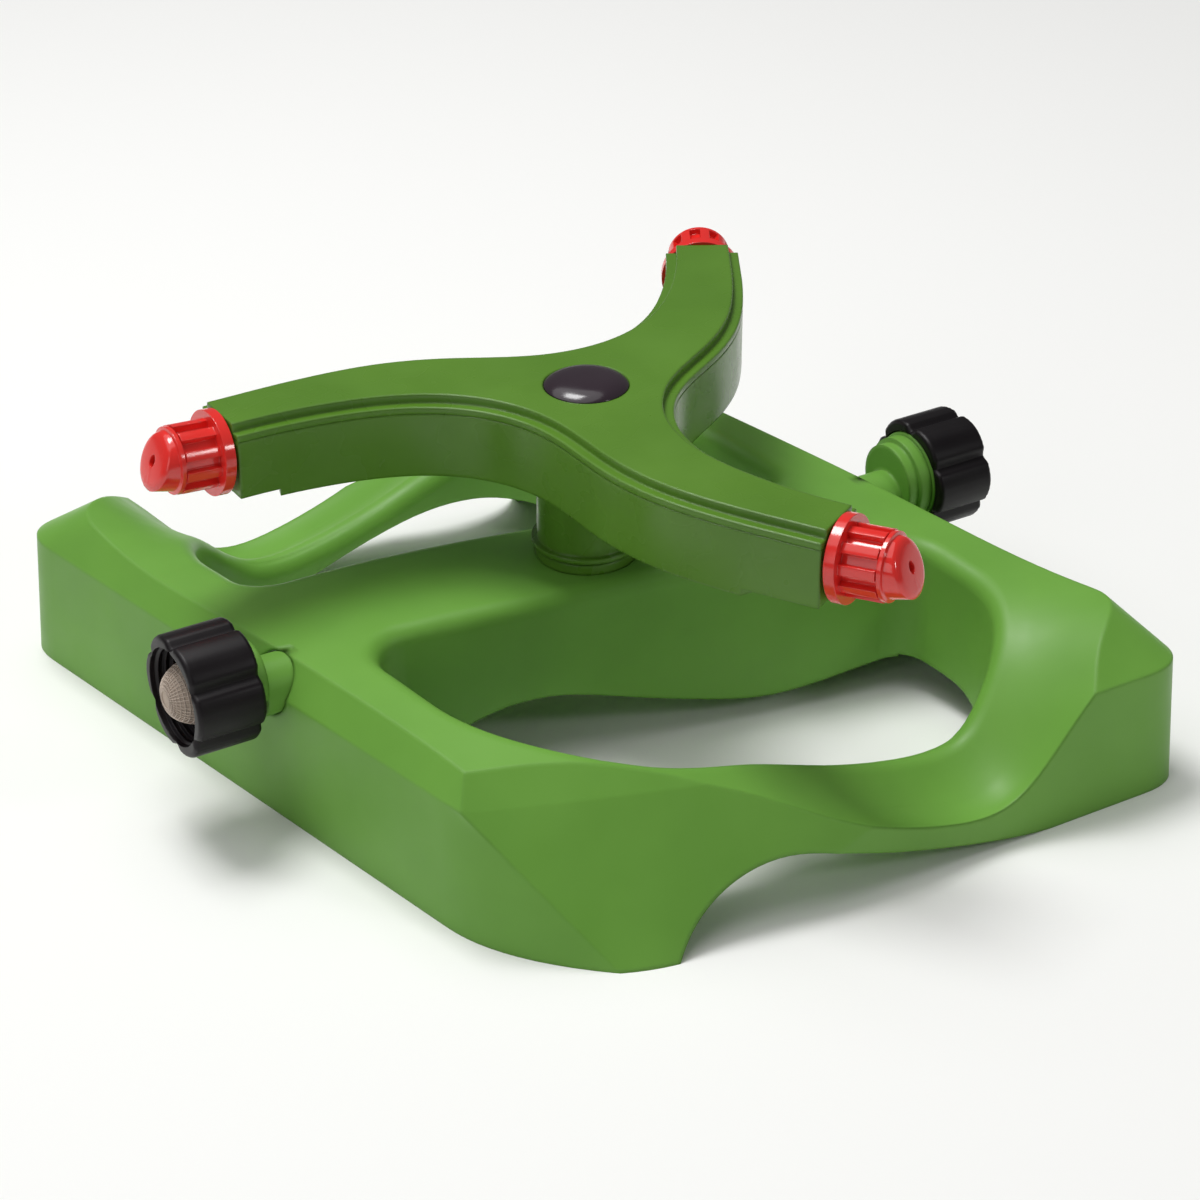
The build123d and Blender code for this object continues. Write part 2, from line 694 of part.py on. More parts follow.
# Retaining screw, through the washer into the spindle
head_seat = spindle_top + retainer_thickness
with BuildPart() as retaining_screw:
    with BuildSketch(Plane.XY.offset(head_seat)):
        Circle(pivot_head_radius)
    extrude(amount=pivot_head_height)
    with BuildSketch(Plane.XY.offset(head_seat)):
        Circle(pivot_radius)
    extrude(amount=-pivot_length)
    with BuildSketch(Plane.XY.offset(head_seat + pivot_head_height)):
        Rectangle(2 * pivot_head_radius, slot_width)
    extrude(amount=-slot_depth, mode=Mode.SUBTRACT)
retaining_screw.part.label = "retaining_screw"
export_step(retaining_screw.part, "parts/retaining_screw.step")

# Rotor stem: a tube that runs on the thrust washer and carries the lower shell
stem_bottom = collar_top + thrust_washer_thickness + run_gap
with BuildPart() as rotor_stem:
    with BuildSketch(Plane.XY.offset(stem_bottom)):
        Circle(stem_ring_radius)
    extrude(amount=stem_ring_height)
    with BuildSketch(Plane.XY.offset(stem_bottom)):
        Circle(stem_radius)
    extrude(amount=arm_bottom - stem_bottom)
    with BuildSketch(Plane.XY.offset(arm_bottom)):
        Circle(stem_neck_radius)
    extrude(amount=arm_wall)
    with BuildSketch(Plane.XY.offset(stem_bottom)):
        Circle(stem_bore)
    extrude(amount=rotor_top - stem_bottom, mode=Mode.SUBTRACT)
    with BuildSketch(Plane.XY.offset(stem_bottom)):
        Circle(bush_radius + fit)
    extrude(amount=bush_length, mode=Mode.SUBTRACT)
rotor_stem.part.label = "rotor_stem"
export_step(rotor_stem.part, "parts/rotor_stem.step")

# Lower bush, at the foot of the stem
with BuildPart() as lower_bush:
    with BuildSketch(Plane.XY.offset(stem_bottom)):
        Circle(bush_radius)
        Circle(spindle_radius + fit, mode=Mode.SUBTRACT)
    extrude(amount=bush_length)
lower_bush.part.label = "lower_bush"
export_step(lower_bush.part, "parts/lower_bush.step")

# Spindle seal, above the lower bush
with BuildPart() as spindle_seal:
    with Locations((0, 0, stem_bottom + bush_length + seal_section + seal_ease)):
        Torus((spindle_radius + stem_bore) / 2, seal_section)
spindle_seal.part.label = "spindle_seal"
export_step(spindle_seal.part, "parts/spindle_seal.step")

# Rotor lower shell: three curved ducts around the hub, each with a solid end for its nozzle
block_depth = arm_short + arm_block
with BuildPart() as rotor_lower_shell:
    extrude(star(arm_bottom, 0, arm_short), amount=seam_height - arm_bottom)
    extrude(star(arm_bottom + arm_wall, arm_wall, block_depth), amount=rotor_top, mode=Mode.SUBTRACT)
    with BuildSketch(Plane.XY.offset(arm_bottom)):
        Circle(end_half)
        Circle(tip_step_radius, mode=Mode.SUBTRACT)
    extrude(amount=tip_step_height, mode=Mode.SUBTRACT)
    for arm in arms:
        with BuildSketch(nozzle_plane(arm)):
            Circle(sleeve_radius + fit)
        extrude(amount=-block_depth - sleeve_radius, mode=Mode.SUBTRACT)
    with BuildSketch(Plane.XY.offset(arm_bottom)):
        Circle(stem_neck_radius + fit)
    extrude(amount=arm_wall, mode=Mode.SUBTRACT)
rotor_lower_shell.part.label = "rotor_lower_shell"
export_step(rotor_lower_shell.part, "parts/rotor_lower_shell.step")

# Rotor top cover: a lid with a raised plateau, a lip inside the ducts and a recess at the hub
lip_inset = arm_wall + slip
lip_bottom = seam_height - lip_height
with BuildPart() as rotor_top_cover:
    extrude(star(seam_height, 0, arm_short), amount=shoulder_height - seam_height)
    extrude(star(shoulder_height, plateau_inset, arm_short), amount=rotor_top - shoulder_height)
    extrude(star(lip_bottom, lip_inset, lip_short), amount=lip_height)
    lip_hollow = star(lip_bottom, lip_inset + lip_wall, lip_short + lip_wall)
    extrude(lip_hollow, amount=lip_height, mode=Mode.SUBTRACT)
    with BuildSketch(Plane.XY.offset(upper_bush_bottom)):
        Circle(upper_bush_radius + upper_boss_wall)
    extrude(amount=recess_floor - upper_bush_bottom)
    with BuildSketch(Plane.XY.offset(recess_floor)):
        Circle(recess_radius)
    extrude(amount=rotor_top, mode=Mode.SUBTRACT)
    with BuildSketch(Plane.XY.offset(cap_seat)):
        Circle(hub_cap_radius + run_gap)
    extrude(amount=rotor_top, mode=Mode.SUBTRACT)
    with BuildSketch(Plane.XY.offset(upper_bush_bottom)):
        Circle(upper_bush_radius + fit)
    extrude(amount=rotor_top, mode=Mode.SUBTRACT)
rotor_top_cover.part.label = "rotor_top_cover"
export_step(rotor_top_cover.part, "parts/rotor_top_cover.step")

# Upper bush, in the cover's boss
with BuildPart() as upper_bush:
    with BuildSketch(Plane.XY.offset(upper_bush_bottom)):
        Circle(upper_bush_radius)
        Circle(spindle_radius + fit, mode=Mode.SUBTRACT)
    extrude(amount=recess_floor - upper_bush_bottom)
upper_bush.part.label = "upper_bush"
export_step(upper_bush.part, "parts/upper_bush.step")

# Hub cap: a low dome with a skirt that snaps into the recess
skirt_radius = recess_radius - fit
with BuildPart() as hub_cap:
    with BuildSketch(Plane.XZ):
        with BuildLine():
            Polyline(
                (0, hub_cap_top - hub_cap_wall),
                (0, hub_cap_top),
            )
            Spline(
                (0, hub_cap_top),
                (hub_cap_radius, cap_seat + hub_cap_edge),
                tangents=((1, 0), (hub_cap_edge, -hub_cap_edge)),
            )
            Polyline(
                (hub_cap_radius, cap_seat + hub_cap_edge),
                (hub_cap_radius, cap_seat),
                (skirt_radius, cap_seat),
                (skirt_radius, recess_floor + slip),
                (skirt_radius - hub_cap_wall, recess_floor + slip),
                (skirt_radius - hub_cap_wall, cap_seat + hub_cap_edge),
                (0, hub_cap_top - hub_cap_wall),
            )
        make_face()
    revolve(axis=Axis.Z)
hub_cap.part.label = "hub_cap"
export_step(hub_cap.part, "parts/hub_cap.step")

# Nozzle in its own frame: flange at the origin, ribbed body along +Z, sleeve along -Z
snap_start = block_depth + 2 * slip
sleeve_end = snap_start + snap_length
seal_floor = sleeve_radius + fit - 2 * nozzle_seal_section
with BuildPart() as nozzle_form:
    with BuildSketch(Plane.XY):
        Circle(flange_radius)
    extrude(amount=flange_thickness)
    with BuildSketch(Plane.XZ):
        with BuildLine():
            Polyline(
                (0, flange_thickness),
                (nozzle_core_radius, flange_thickness),
                (nozzle_core_radius, rib_stop),
                (nozzle_tip_radius, nozzle_length),
                (0, nozzle_length),
                close=True,
            )
        make_face()
    revolve(axis=Axis.Z)
    with BuildSketch(Plane.XY.offset(flange_thickness)):
        with PolarLocations((nozzle_core_radius + rib_radius) / 2, rib_count):
            Rectangle(rib_radius - nozzle_core_radius + rib_root, rib_width)
    extrude(amount=rib_stop - flange_thickness)
    with BuildSketch(Plane.XY):
        Circle(sleeve_radius)
    extrude(amount=-sleeve_end)
    with BuildSketch(Plane.XY.offset(-snap_start)):
        Circle(sleeve_radius + snap_lip)
    extrude(amount=-snap_length)
    with BuildSketch(Plane.XY.offset(-sleeve_end)):
        Circle(sleeve_bore)
    extrude(amount=sleeve_end + nozzle_bore_depth, mode=Mode.SUBTRACT)
    with BuildSketch(Plane.XY.offset(-nozzle_seal_back - nozzle_seal_section)):
        Circle(flange_radius)
        Circle(seal_floor, mode=Mode.SUBTRACT)
    extrude(amount=2 * nozzle_seal_section, mode=Mode.SUBTRACT)
    with BuildSketch(Plane.XY):
        Circle(jet_radius)
    extrude(amount=nozzle_length, mode=Mode.SUBTRACT)
    slant = radians(tip_slant)
    tip_face = Plane(origin=(0, -nozzle_tip_radius, nozzle_length), z_dir=(0, sin(slant), cos(slant)))
    with BuildSketch(tip_face):
        Circle(end_half)
    extrude(amount=nozzle_length, mode=Mode.SUBTRACT)

# Nozzles and their seals, one set for each arm
for arm in arms:
    with BuildPart() as nozzle:
        with Locations(nozzle_plane(arm).location):
            add(nozzle_form.part)
    nozzle.part.label = f"nozzle_{arm + 1}"
    export_step(nozzle.part, f"parts/nozzle_{arm + 1}.step")
    with BuildPart() as nozzle_seal:
        with Locations(nozzle_plane(arm).offset(-nozzle_seal_back).location):
            Torus(seal_floor + nozzle_seal_section, nozzle_seal_section - seal_ease)
    nozzle_seal.part.label = f"nozzle_{arm + 1}_seal"
    export_step(nozzle_seal.part, f"parts/nozzle_{arm + 1}_seal.step")
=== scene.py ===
# %% [markdown]
# # A rotary lawn sprinkler
#
# Water comes in at a hose coupling, runs through a pipe under a green sled-shaped base and rises
# through a hollow spindle into a rotor with three curved arms. Jets from the red nozzles push the
# rotor round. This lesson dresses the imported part: soft edges on the mouldings, the small shapes
# that catch the light, and a finish for every surface.

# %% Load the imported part
import json
from math import atan2, cos, degrees, pi, radians, sin

import bpy
from mathutils import Matrix, Vector


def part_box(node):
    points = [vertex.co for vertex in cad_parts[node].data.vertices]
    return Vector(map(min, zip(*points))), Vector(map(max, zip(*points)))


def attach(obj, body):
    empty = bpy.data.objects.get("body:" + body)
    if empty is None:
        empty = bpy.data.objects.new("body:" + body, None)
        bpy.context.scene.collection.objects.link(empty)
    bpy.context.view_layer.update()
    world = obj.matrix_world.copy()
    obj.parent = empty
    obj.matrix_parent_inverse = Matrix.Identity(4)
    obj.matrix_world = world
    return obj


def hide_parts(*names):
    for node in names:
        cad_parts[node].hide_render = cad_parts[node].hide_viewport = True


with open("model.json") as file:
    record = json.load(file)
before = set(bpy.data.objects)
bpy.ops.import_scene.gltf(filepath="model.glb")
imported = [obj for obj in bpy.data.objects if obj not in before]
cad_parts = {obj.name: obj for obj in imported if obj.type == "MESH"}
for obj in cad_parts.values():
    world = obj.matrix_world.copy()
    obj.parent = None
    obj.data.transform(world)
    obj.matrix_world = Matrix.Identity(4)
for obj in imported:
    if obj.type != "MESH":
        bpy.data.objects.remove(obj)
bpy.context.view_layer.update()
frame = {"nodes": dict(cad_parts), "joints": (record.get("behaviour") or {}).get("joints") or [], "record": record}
mm = 0.001
print("nodes:", len(frame["nodes"]))

# %% [markdown]
# ## Finishes
#
# Nearly every piece is an injection moulding. A flat colour would look like a drawing, and a
# picture of plastic would have to be unwrapped onto every piece, so the finishes are built from
# noise at sizes in millimetres. Three helpers come first: one turns the colours of a screen into
# the linear values that shaders work with, one adds a node with its settings and links, and one
# makes an empty material.


# %% Colours and nodes
def linear(code):
    """Turns an sRGB hex colour into the linear values that shaders work with."""
    channels = [int(code[i:i + 2], 16) / 255 for i in (1, 3, 5)]
    return [c / 12.92 if c <= 0.04045 else ((c + 0.055) / 1.055) ** 2.4 for c in channels] + [1.0]


def add_node(finish, kind, settings, links=()):
    """Adds a node to a finish: settings are properties or socket values, links feed its sockets."""
    node = finish.node_tree.nodes.new(kind)
    for key, value in settings.items():
        if key in node.inputs:
            node.inputs[key].default_value = value
        else:
            setattr(node, key, value)
    for key, source in dict(links).items():
        finish.node_tree.links.new(source, node.inputs[key])
    return node


def blank(name):
    """A material with a plain principled shader, and that shader."""
    finish = bpy.data.materials.new(name)
    finish.use_nodes = True
    return finish, finish.node_tree.nodes["Principled BSDF"]


print("mid grey #808080 in linear light:", round(linear("#808080")[0], 3))

# %% [markdown]
# A moulding has an even body colour that drifts a little over its length, a roughness that varies
# with the flow of the melt, and a fine grain from the mould's spark-eroded steel. Its corners are
# never sharp. Modelling a round on every edge of the large shells would take many faces, so a
# bevel node bends the normals beside an edge instead, and light runs along it as on a real radius.

# %% A moulded plastic
drift_size, flow_size = 45.0, 12.0   # millimetres over which the colour and the gloss change
grain_size, grain_depth = 0.7, 0.1   # coarser than the real grain of 0.2 mm, so that it shows
drift_span = 0.35, 0.65              # values of the noise that give the dark and the light shade
flow_span = 0.3, 0.7                 # values of the noise that give the least and most roughness
gloss_swing = 0.05                   # how far the roughness goes up and down
edge_samples = 6                     # rays that look for an edge nearby


def moulded(name, dark, light, rough, ior=1.49, grain=0.05, shine=0.5, edge=0.3):
    """A moulded plastic between two near shades, its edges rounded in the shading by edge mm."""
    finish, shader = blank(name)
    tree = finish.node_tree
    place = add_node(finish, "ShaderNodeTexCoord", {})
    drift = add_node(finish, "ShaderNodeTexNoise", {"Scale": 1 / (drift_size * mm), "Detail": 3.0},
                     {"Vector": place.outputs["Object"]})
    shade = add_node(finish, "ShaderNodeValToRGB", {}, {"Fac": drift.outputs["Fac"]})
    for stop, at, code in zip(shade.color_ramp.elements, drift_span, (dark, light)):
        stop.position, stop.color = at, linear(code)
    flow = add_node(finish, "ShaderNodeTexNoise", {"Scale": 1 / (flow_size * mm), "Detail": 2.0},
                    {"Vector": place.outputs["Object"]})
    gloss = add_node(finish, "ShaderNodeMapRange",
                     {"From Min": flow_span[0], "From Max": flow_span[1],
                      "To Min": rough - gloss_swing, "To Max": rough + gloss_swing},
                     {"Value": flow.outputs["Fac"]})
    grit = add_node(finish, "ShaderNodeTexNoise", {"Scale": 1 / (grain_size * mm), "Detail": 1.0},
                    {"Vector": place.outputs["Object"]})
    rounded = add_node(finish, "ShaderNodeBevel", {"samples": edge_samples, "Radius": edge * mm})
    bump = add_node(finish, "ShaderNodeBump", {"Strength": grain, "Distance": grain_depth * mm},
                    {"Height": grit.outputs["Fac"], "Normal": rounded.outputs["Normal"]})
    tree.links.new(shade.outputs["Color"], shader.inputs["Base Color"])
    tree.links.new(gloss.outputs["Result"], shader.inputs["Roughness"])
    tree.links.new(bump.outputs["Normal"], shader.inputs["Normal"])
    shader.inputs["IOR"].default_value = ior
    shader.inputs["Specular IOR Level"].default_value = shine
    return finish


print("drift, flow and grain:", drift_size, flow_size, grain_size, "mm")

# %% [markdown]
# The large shells are polypropylene, the nozzles and the spindle acetal, the couplings nylon, the
# hub cap ABS and the seals nitrile rubber. They share one way of making a surface, so one function
# gives them all, and the shades, the roughness and the shine set them apart.

# %% The moulded plastics
# Satin polypropylene: broad, soft lights that leave the green of the shell even
base_green = moulded("polypropylene_satin_base_green", "#689C3E", "#70A544", 0.4,
                     shine=0.25, edge=1.6)
# The same plastic from a smoother mould: a deeper green with narrower lights along the arms
rotor_green = moulded("polypropylene_satin_rotor_green", "#527C25", "#5A852B", 0.28,
                      shine=0.4, edge=1.2)
# Glossy acetal: small, sharp lights on every rib, which make the red look wet
nozzle_red = moulded("acetal_gloss_nozzle_red", "#DE2925", "#E6332D", 0.12,
                     ior=1.48, grain=0.02, shine=0.8)
# Satin nylon: nearly black, with dull lights that only trace the lobes
connector_black = moulded("nylon_satin_connector_black", "#0E0A0D", "#151013", 0.4,
                          ior=1.53, shine=0.22)
# Polished ABS: a dark dome with one clear reflection
cap_gloss = moulded("abs_gloss_hub_cap", "#2A2028", "#31262E", 0.2, ior=1.54, grain=0.01)
# Turned acetal: a milky white with soft lights
spindle_white = moulded("acetal_turned_white", "#CFCABD", "#DAD6CA", 0.4, ior=1.48)
# Nitrile rubber: a matte black that hardly reflects
seal_black = moulded("nitrile_rubber_matte_seal", "#161414", "#1E1B1B", 0.7, ior=1.52, grain=0.1)
print("plastics:", [finish.name for finish in (base_green, rotor_green, nozzle_red, connector_black,
                                               cap_gloss, spindle_white, seal_black)])

# %% [markdown]
# The screws are zinc-plated steel. A metal shows its colour in its reflections alone, and turning
# leaves rings on it. A wave texture draws rings with no picture and no faces.

# %% Plated steel
turning_pitch = 2.2                  # millimetres, coarser than real turning, so that it shows
wave_repeats = 20 / (2 * pi)         # how often a wave texture of scale 1 repeats in one unit
# Zinc plating: a pale grey metal whose rings are bright and dull by turns
screw_steel, steel_shader = blank("steel_zinc_plated")
steel_place = add_node(screw_steel, "ShaderNodeTexCoord", {})
turning = add_node(screw_steel, "ShaderNodeTexWave",
                   {"wave_type": "RINGS", "rings_direction": "Z",
                    "Scale": 1 / (turning_pitch * mm * wave_repeats)},
                   {"Vector": steel_place.outputs["Object"]})
turned_rough = add_node(screw_steel, "ShaderNodeMapRange", {"To Min": 0.25, "To Max": 0.4},
                        {"Value": turning.outputs["Fac"]})
screw_steel.node_tree.links.new(turned_rough.outputs["Result"], steel_shader.inputs["Roughness"])
steel_shader.inputs["Base Color"].default_value = linear("#B9BBB8")
steel_shader.inputs["Metallic"].default_value = 1.0
print("metal:", screw_steel.name)

# %% [markdown]
# The strainer's screen is woven of beige nylon. Its threads are modelled, so the finishes only
# have to set them off: the skin behind the threads is a darker beige, painted shade for the gaps.

# %% Woven screen
# Nylon thread: a light beige with soft lights
strainer_screen = moulded("nylon_woven_screen_beige", "#C4B3A4", "#D2C2B4", 0.5, ior=1.53)
# The gaps between the threads: a darker beige, painted shade where hardly any light gets in
painted_shade_skin = moulded("nylon_screen_painted_shade_beige", "#B09E8F", "#BBAA9A", 0.6, ior=1.53, shine=0.3)
print("screen:", strainer_screen.name, "on", painted_shade_skin.name)

# %% [markdown]
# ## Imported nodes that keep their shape
#
# The base and the rotor's lower shell are large mouldings, and the pieces inside the sprinkler are
# small ones. They could be modelled again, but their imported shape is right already, so they only
# need their finish, which rounds their edges in the shading too.

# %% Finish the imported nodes
finishes = {
    "base_green": base_green, "rotor_green": rotor_green, "nozzle_red": nozzle_red,
    "connector_black": connector_black, "hub_cap_gloss": cap_gloss,
    "strainer_mesh": strainer_screen, "seal_rubber": seal_black,
    "spindle_acetal": spindle_white, "screw_steel": screw_steel,
}
for subpart in frame["record"]["subparts"]:
    node = frame["nodes"][subpart["node"]]
    node.data.materials.clear()
    node.data.materials.append(finishes[subpart["material_slot"]])

# %% [markdown]
# ## Rotor cover
#
# The cover lies over the three arms, with two steps along each: a rim at the seam and a raised
# plateau. It could be drawn again, but it has to meet the shell below it, so a copy of its node is
# the start. That copy is a bag of loose triangles: its doubles are merged and its flat areas are
# joined into single faces, so that a bevel can find the real edges. Operators act on everything
# that is selected, so the first tool deselects all.

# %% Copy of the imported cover
weld_gap = 0.002                     # millimetres between two corners that are one
flat_angle = 0.6                     # degrees between two faces that are one


def pick(piece):
    """Deselects everything, then selects this object and makes it active."""
    bpy.ops.object.select_all(action="DESELECT")
    piece.select_set(True)
    bpy.context.view_layer.objects.active = piece


lid = bpy.data.objects.new("rotor_lid", frame["nodes"]["rotor_top_cover"].data.copy())
bpy.context.scene.collection.objects.link(lid)
pick(lid)
bpy.ops.mesh.customdata_custom_splitnormals_clear()
bpy.ops.object.mode_set(mode="EDIT")
bpy.ops.mesh.select_all(action="SELECT")
bpy.ops.mesh.remove_doubles(threshold=weld_gap * mm)
bpy.ops.mesh.dissolve_limited(angle_limit=radians(flat_angle))
bpy.ops.object.mode_set(mode="OBJECT")
print("cover with its flat areas joined:", len(lid.data.polygons), "faces")

# %% [markdown]
# A bevel rounds the steps, so that two lines of light run along the arm. Where it has no room its
# corners fall together, so they are merged. Weighted normals keep the large faces flat beside it.

# %% Rounded edges
edge_angle = 30                      # degrees: a sharper bend is an edge
shade_margin = 5                     # degrees more, so that a bevel's own bends stay smooth
lid_round = 1.1


def edit(piece):
    """Opens one piece in edit mode with nothing selected, to pick faces by place or normal."""
    pick(piece)
    bpy.ops.object.mode_set(mode="EDIT")
    bpy.ops.mesh.select_mode(type="FACE")
    bpy.ops.mesh.select_all(action="DESELECT")


def weld(piece, gap):
    """Merges corners of the piece that lie closer than the gap."""
    edit(piece)
    bpy.ops.mesh.select_all(action="SELECT")
    bpy.ops.mesh.remove_doubles(threshold=gap * mm)
    bpy.ops.object.mode_set(mode="OBJECT")


def soften(piece, width, segments=3, angle=edge_angle):
    """Rounds every edge that is sharper than the angle, as a mould's cutter leaves it."""
    pick(piece)
    bevel = piece.modifiers.new("round", "BEVEL")
    bevel.width = width * mm
    bevel.segments = segments
    bevel.limit_method = "ANGLE"
    bevel.angle_limit = radians(angle)
    bpy.ops.object.modifier_apply(modifier=bevel.name)
    weld(piece, weld_gap)
    bpy.ops.object.shade_smooth_by_angle(angle=radians(angle + shade_margin))
    even = piece.modifiers.new("even", "WEIGHTED_NORMAL")
    even.keep_sharp = True
    bpy.ops.object.modifier_apply(modifier=even.name)


soften(lid, lid_round, segments=4)
print("cover with rounded edges:", len(lid.data.polygons), "faces")

# %% [markdown]
# A piece is dressed last: it gets its finish and the body that it rides on, and the imported node that it
# stands for is hidden. One function does it, so that no piece is left without any of them.


# %% Rotor cover dressed
def dress(piece, body, slot, finish, *nodes):
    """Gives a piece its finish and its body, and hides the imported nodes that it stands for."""
    piece.data.materials.clear()
    piece.data.materials.append(finish)
    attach(piece, body)
    if nodes:
        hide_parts(*nodes)
    print(piece.name, len(piece.data.polygons), "faces on", body)


dress(lid, "rotor", "rotor_green", rotor_green, "rotor_top_cover")

# %% [markdown]
# ## Nozzles
#
# A nozzle is turned by hand to set its jet, so it has ribs to grip, between a flange and a bead. It
# could be put together from solids with booleans. Here one cylinder that stands on the origin
# grows by inset and extrude, because every ring of corners then stays in line and bevels cleanly.

# %% Nozzle: flange, core, bead and neck
nozzle_sides = 60
flange_radius, flange_depth = 11.7, 3.0
core_radius, rib_end = 7.6, 13.0
bead_radius, bead_depth, bead_edge = 9.2, 1.6, 0.2
neck_radius, tip_radius, tip_length = 8.2, 7.2, 20.5
level_share = 0.9                    # a face is level when this much of its normal is along Z


def bar(sides, radius, length, start=0):
    """A plain round bar on the Z axis, from a start height up."""
    bpy.ops.object.select_all(action="DESELECT")
    bpy.ops.mesh.primitive_cylinder_add(vertices=sides, radius=radius * mm, depth=length * mm,
                                        location=(0, 0, (start + length / 2) * mm))
    bpy.ops.object.transform_apply(location=True, rotation=True, scale=True)
    return bpy.context.object


def choose(piece, test):
    """Selects the faces that pass the test, and leaves the piece in edit mode."""
    bpy.ops.mesh.select_mode(type="FACE")
    bpy.ops.mesh.select_all(action="DESELECT")
    bpy.ops.object.mode_set(mode="OBJECT")
    for face in piece.data.polygons:
        face.select = test(face)
    bpy.ops.object.mode_set(mode="EDIT")


def push(rise, radius, last):
    """Extrudes the selected face along Z and scales its rim from the last radius to a new one."""
    bpy.ops.mesh.extrude_region_move(TRANSFORM_OT_translate={"value": (0, 0, rise * mm)})
    bpy.ops.transform.resize(value=(radius / last, radius / last, 1))


def close(piece):
    """Leaves edit mode and says how many faces the piece has by now."""
    bpy.ops.object.mode_set(mode="OBJECT")
    print(piece.name, "has", len(piece.data.polygons), "faces")


nozzle = bar(nozzle_sides, flange_radius, flange_depth)
nozzle.name = "nozzle_pattern"
edit(nozzle)
choose(nozzle, lambda face: face.normal.z > level_share)
bpy.ops.mesh.inset(thickness=(flange_radius - core_radius) * mm)
push(rib_end - flange_depth, core_radius, core_radius)
push(bead_edge, bead_radius, core_radius)
push(bead_depth - 2 * bead_edge, bead_radius, bead_radius)
push(bead_edge, neck_radius, bead_radius)
push(tip_length - rib_end - bead_depth, tip_radius, neck_radius)
close(nozzle)

# %% [markdown]
# The ribs are strips of the core's faces, three sides wide with three sides between them. They are
# pushed out along their normals, all ten at once, so there is nothing to copy or to join.

# %% Nozzle: ribs
rib_sides, rib_pitch, rib_rise = 3, 6, 1.9
upright_share = 0.1                  # a face is upright when less of its normal is along Z


def side_of(face):
    """Which of the nozzle's sides a face belongs to, counted round its axis."""
    turn = face.center.xy.angle_signed(Vector((1, 0))) / (2 * pi)
    return int((turn % 1.0) * nozzle_sides)


def under_rib(face):
    """True for the upright faces of the core that a rib grows from."""
    on_core = flange_depth * mm < face.center.z < rib_end * mm
    upright = abs(face.normal.z) < upright_share
    return on_core and upright and side_of(face) % rib_pitch >= rib_sides


edit(nozzle)
choose(nozzle, under_rib)
bpy.ops.mesh.extrude_region_shrink_fatten(TRANSFORM_OT_shrink_fatten={"value": rib_rise * mm})
close(nozzle)

# %% [markdown]
# The tip is cut at a slant and bulges a little. A boolean could cut it, but a bisect cuts and
# closes it in one go. Insets that rise make the dome, and a last, flat one leaves the jet's hole,
# which is pushed back in.

# %% Nozzle: slanted tip, dome and jet
tip_clear = 0.3                      # millimetres of neck below the lowest end of the cut
tip_slant = atan2(tip_length - rib_end - bead_depth - tip_clear, tip_radius + bead_radius)
dome_steps = (0.4, 0.45), (0.7, 0.4), (1.2, 0.3)   # width and rise of each inset
dome_width = sum(step for step, _ in dome_steps)
jet_radius, jet_depth = 0.9, 3.0
edit(nozzle)
bpy.ops.mesh.select_all(action="SELECT")
bpy.ops.mesh.bisect(plane_co=(0, -tip_radius * mm, tip_length * mm),
                    plane_no=(0, sin(tip_slant), cos(tip_slant)), use_fill=True, clear_outer=True)
choose(nozzle, lambda face: len(face.vertices) > nozzle_sides / 2 and face.normal.z > level_share)
for step, rise in dome_steps:
    bpy.ops.mesh.inset(thickness=step * mm, depth=rise * mm)
bpy.ops.mesh.inset(thickness=(tip_radius - dome_width - jet_radius) * mm)
bpy.ops.mesh.extrude_region_shrink_fatten(TRANSFORM_OT_shrink_fatten={"value": -jet_depth * mm})
close(nozzle)

# %% [markdown]
# The sleeve goes into the arm's end, with a groove for an O-ring and a bore for the water. It grows
# from the flange's underside: a push of no height makes a wall of the groove, and the bore is a
# push back up through the sleeve. A narrow bevel then rounds the whole nozzle.

# %% Nozzle: sleeve, seal groove and bore
sleeve_radius, sleeve_depth = 6.2, 11.0
seal_start, seal_width, seal_floor = 3.4, 1.2, 5.06
sleeve_bore, bore_depth = 4.4, 12.0  # the bore ends this far above the flange's underside
nozzle_round = 0.35
edit(nozzle)
choose(nozzle, lambda face: face.normal.z < -level_share and face.center.z < flange_depth / 2 * mm)
bpy.ops.mesh.inset(thickness=(flange_radius - sleeve_radius) * mm)
push(-seal_start, sleeve_radius, sleeve_radius)
push(0, seal_floor, sleeve_radius)
push(-seal_width, seal_floor, seal_floor)
push(0, sleeve_radius, seal_floor)
push(seal_start + seal_width - sleeve_depth, sleeve_radius, sleeve_radius)
bpy.ops.mesh.inset(thickness=(sleeve_radius - sleeve_bore) * mm)
push(sleeve_depth + bore_depth, sleeve_bore, sleeve_bore)
close(nozzle)
soften(nozzle, nozzle_round, segments=2)
print("nozzle size:", [round(v / mm, 1) for v in nozzle.dimensions])

# %% [markdown]
# The three nozzles are copies, each with its own mesh. They could be placed by numbers, but the
# joints that turn them already say where they sit and which way they point, so the places are
# read from there. Every finished piece stays at the origin with its place in its mesh.


# %% Nozzles in place
def settle(piece, matrix):
    """Moves the piece's mesh to its place on the part and leaves its object at the origin."""
    piece.matrix_world = matrix
    pick(piece)
    bpy.ops.object.transform_apply(location=True, rotation=True, scale=True)


nozzle_turns = [joint for joint in frame["joints"] if joint["name"].startswith("nozzle")]
for joint in nozzle_turns:
    out = Vector(joint["axis"]).normalized()
    side = Vector((0, 0, 1)).cross(out).normalized()
    turned = Matrix((side, out.cross(side), out)).transposed().to_4x4()
    one = bpy.data.objects.new(joint["child"] + "_ribbed", nozzle.data.copy())
    bpy.context.scene.collection.objects.link(one)
    settle(one, Matrix.Translation(joint["pos_m"]) @ turned)
    dress(one, joint["child"], "nozzle_red", nozzle_red, joint["child"])
bpy.data.objects.remove(nozzle)

